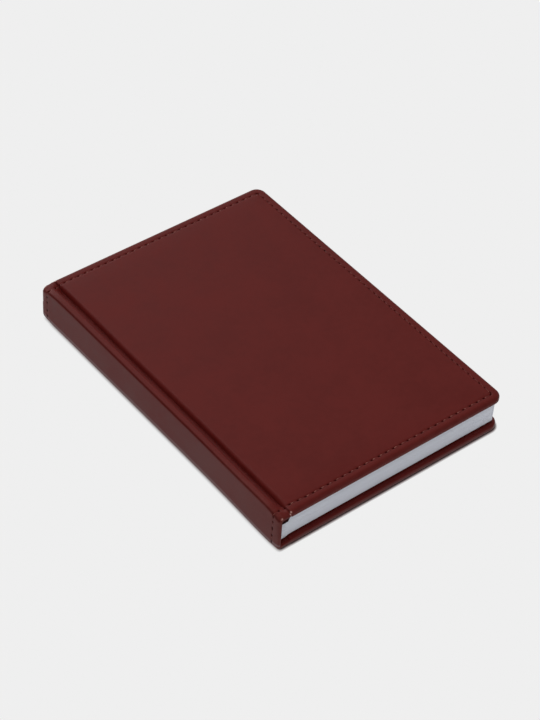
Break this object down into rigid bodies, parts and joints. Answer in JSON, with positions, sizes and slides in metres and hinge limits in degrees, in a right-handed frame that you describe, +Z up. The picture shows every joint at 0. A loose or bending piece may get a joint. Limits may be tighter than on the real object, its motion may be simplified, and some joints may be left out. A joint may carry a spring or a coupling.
{
  "type": "diary",
  "caption": "Hardback diary: padded, stitched leather case with a flat spine and grooved joints round sewn page sections; covers, flyleaves and outer sections open.",
  "frame": {"origin": "centre of the closed book's outline, on the surface it lies on", "axes": "+X from the spine to the fore-edge, +Y from tail to head, +Z up through the front cover"},
  "size_m": [0.1528, 0.2134, 0.0244],
  "materials": {
    "leather": "smooth dark red-brown, satin",
    "stitching_thread": "twisted thread, tone on tone",
    "padding": "thin soft padding",
    "greyboard": "dense pressed board",
    "endpaper": "plain uncoated endpaper",
    "page_paper": "uncoated writing paper",
    "mull": "open-weave stiffened cloth",
    "kraft_paper": "brown lining paper",
    "sewing_thread": "linen sewing thread"
  },
  "bodies": {
    "back_cover": {"back_leather": "leather", "back_foam": "padding", "back_board": "greyboard", "back_pastedown": "endpaper", "back_stitching": "stitching_thread"},
    "text_block": {"spine_leather": "leather", "spine_board": "greyboard", "spine_stitching": "stitching_thread", "spine_lining": "kraft_paper", "spine_mull": "mull", "sewing_thread": "sewing_thread", "section_folds": "page_paper", "section_05": "page_paper", "section_06": "page_paper", "section_07": "page_paper", "section_08": "page_paper"},
    "front_cover": {"front_leather": "leather", "front_foam": "padding", "front_board": "greyboard", "front_pastedown": "endpaper", "front_stitching": "stitching_thread"},
    "front_flyleaf": {"front_flyleaf": "endpaper"},
    "first_leaf": {"first_leaf": "page_paper"},
    "second_leaf": {"second_leaf": "page_paper"},
    "section_01": {"section_01": "page_paper"},
    "section_02": {"section_02": "page_paper"},
    "section_03": {"section_03": "page_paper"},
    "section_04": {"section_04": "page_paper"},
    "back_flyleaf": {"back_flyleaf": "endpaper"},
    "section_11": {"section_11": "page_paper"},
    "section_10": {"section_10": "page_paper"},
    "section_09": {"section_09": "page_paper"}
  },
  "joints": [
    {"name": "back_joint", "type": "hinge", "parent": "back_cover", "child": "text_block", "pos_m": [-0.0724, 0, 0.004], "axis": [0, 1, 0], "range_deg": [-90, 0]},
    {"name": "front_joint", "type": "hinge", "parent": "text_block", "child": "front_cover", "pos_m": [-0.0724, 0, 0.0204], "axis": [0, -1, 0], "range_deg": [0, 178]},
    {"name": "front_flyleaf_turn", "type": "hinge", "parent": "text_block", "child": "front_flyleaf", "pos_m": [-0.0658, 0, 0.0201], "axis": [0, -1, 0], "range_deg": [0, 88]},
    {"name": "first_leaf_turn", "type": "hinge", "parent": "text_block", "child": "first_leaf", "pos_m": [-0.0658, 0, 0.0199], "axis": [0, -1, 0], "range_deg": [0, 68]},
    {"name": "second_leaf_turn", "type": "hinge", "parent": "text_block", "child": "second_leaf", "pos_m": [-0.0658, 0, 0.01973], "axis": [0, -1, 0], "range_deg": [0, 52]},
    {"name": "section_01_turn", "type": "hinge", "parent": "text_block", "child": "section_01", "pos_m": [-0.0658, 0, 0.01956], "axis": [0, -1, 0], "range_deg": [0, 38]},
    {"name": "section_02_turn", "type": "hinge", "parent": "text_block", "child": "section_02", "pos_m": [-0.0658, 0, 0.01819], "axis": [0, -1, 0], "range_deg": [0, 19]},
    {"name": "section_03_turn", "type": "hinge", "parent": "text_block", "child": "section_03", "pos_m": [-0.0658, 0, 0.01681], "axis": [0, -1, 0], "range_deg": [0, 9]},
    {"name": "section_04_turn", "type": "hinge", "parent": "text_block", "child": "section_04", "pos_m": [-0.0658, 0, 0.01544], "axis": [0, -1, 0], "range_deg": [0, 4]},
    {"name": "back_flyleaf_turn", "type": "hinge", "parent": "text_block", "child": "back_flyleaf", "pos_m": [-0.0658, 0, 0.0043], "axis": [0, 1, 0], "range_deg": [0, 52]},
    {"name": "section_11_turn", "type": "hinge", "parent": "text_block", "child": "section_11", "pos_m": [-0.0658, 0, 0.0045], "axis": [0, 1, 0], "range_deg": [0, 24]},
    {"name": "section_10_turn", "type": "hinge", "parent": "text_block", "child": "section_10", "pos_m": [-0.0658, 0, 0.00587], "axis": [0, 1, 0], "range_deg": [0, 11]},
    {"name": "section_09_turn", "type": "hinge", "parent": "text_block", "child": "section_09", "pos_m": [-0.0658, 0, 0.00725], "axis": [0, 1, 0], "range_deg": [0, 5]}
  ],
  "couplings": [
    {"joint": "front_flyleaf_turn", "follows": "front_joint", "ratio": 0.49438},
    {"joint": "first_leaf_turn", "follows": "front_joint", "ratio": 0.38202},
    {"joint": "second_leaf_turn", "follows": "front_joint", "ratio": 0.29213},
    {"joint": "section_01_turn", "follows": "front_joint", "ratio": 0.21348},
    {"joint": "section_02_turn", "follows": "front_joint", "ratio": 0.10674},
    {"joint": "section_03_turn", "follows": "front_joint", "ratio": 0.050561},
    {"joint": "section_04_turn", "follows": "front_joint", "ratio": 0.022471},
    {"joint": "back_flyleaf_turn", "follows": "back_joint", "ratio": -0.57778},
    {"joint": "section_11_turn", "follows": "back_joint", "ratio": -0.26667},
    {"joint": "section_10_turn", "follows": "back_joint", "ratio": -0.12222},
    {"joint": "section_09_turn", "follows": "back_joint", "ratio": -0.055555}
  ]
}
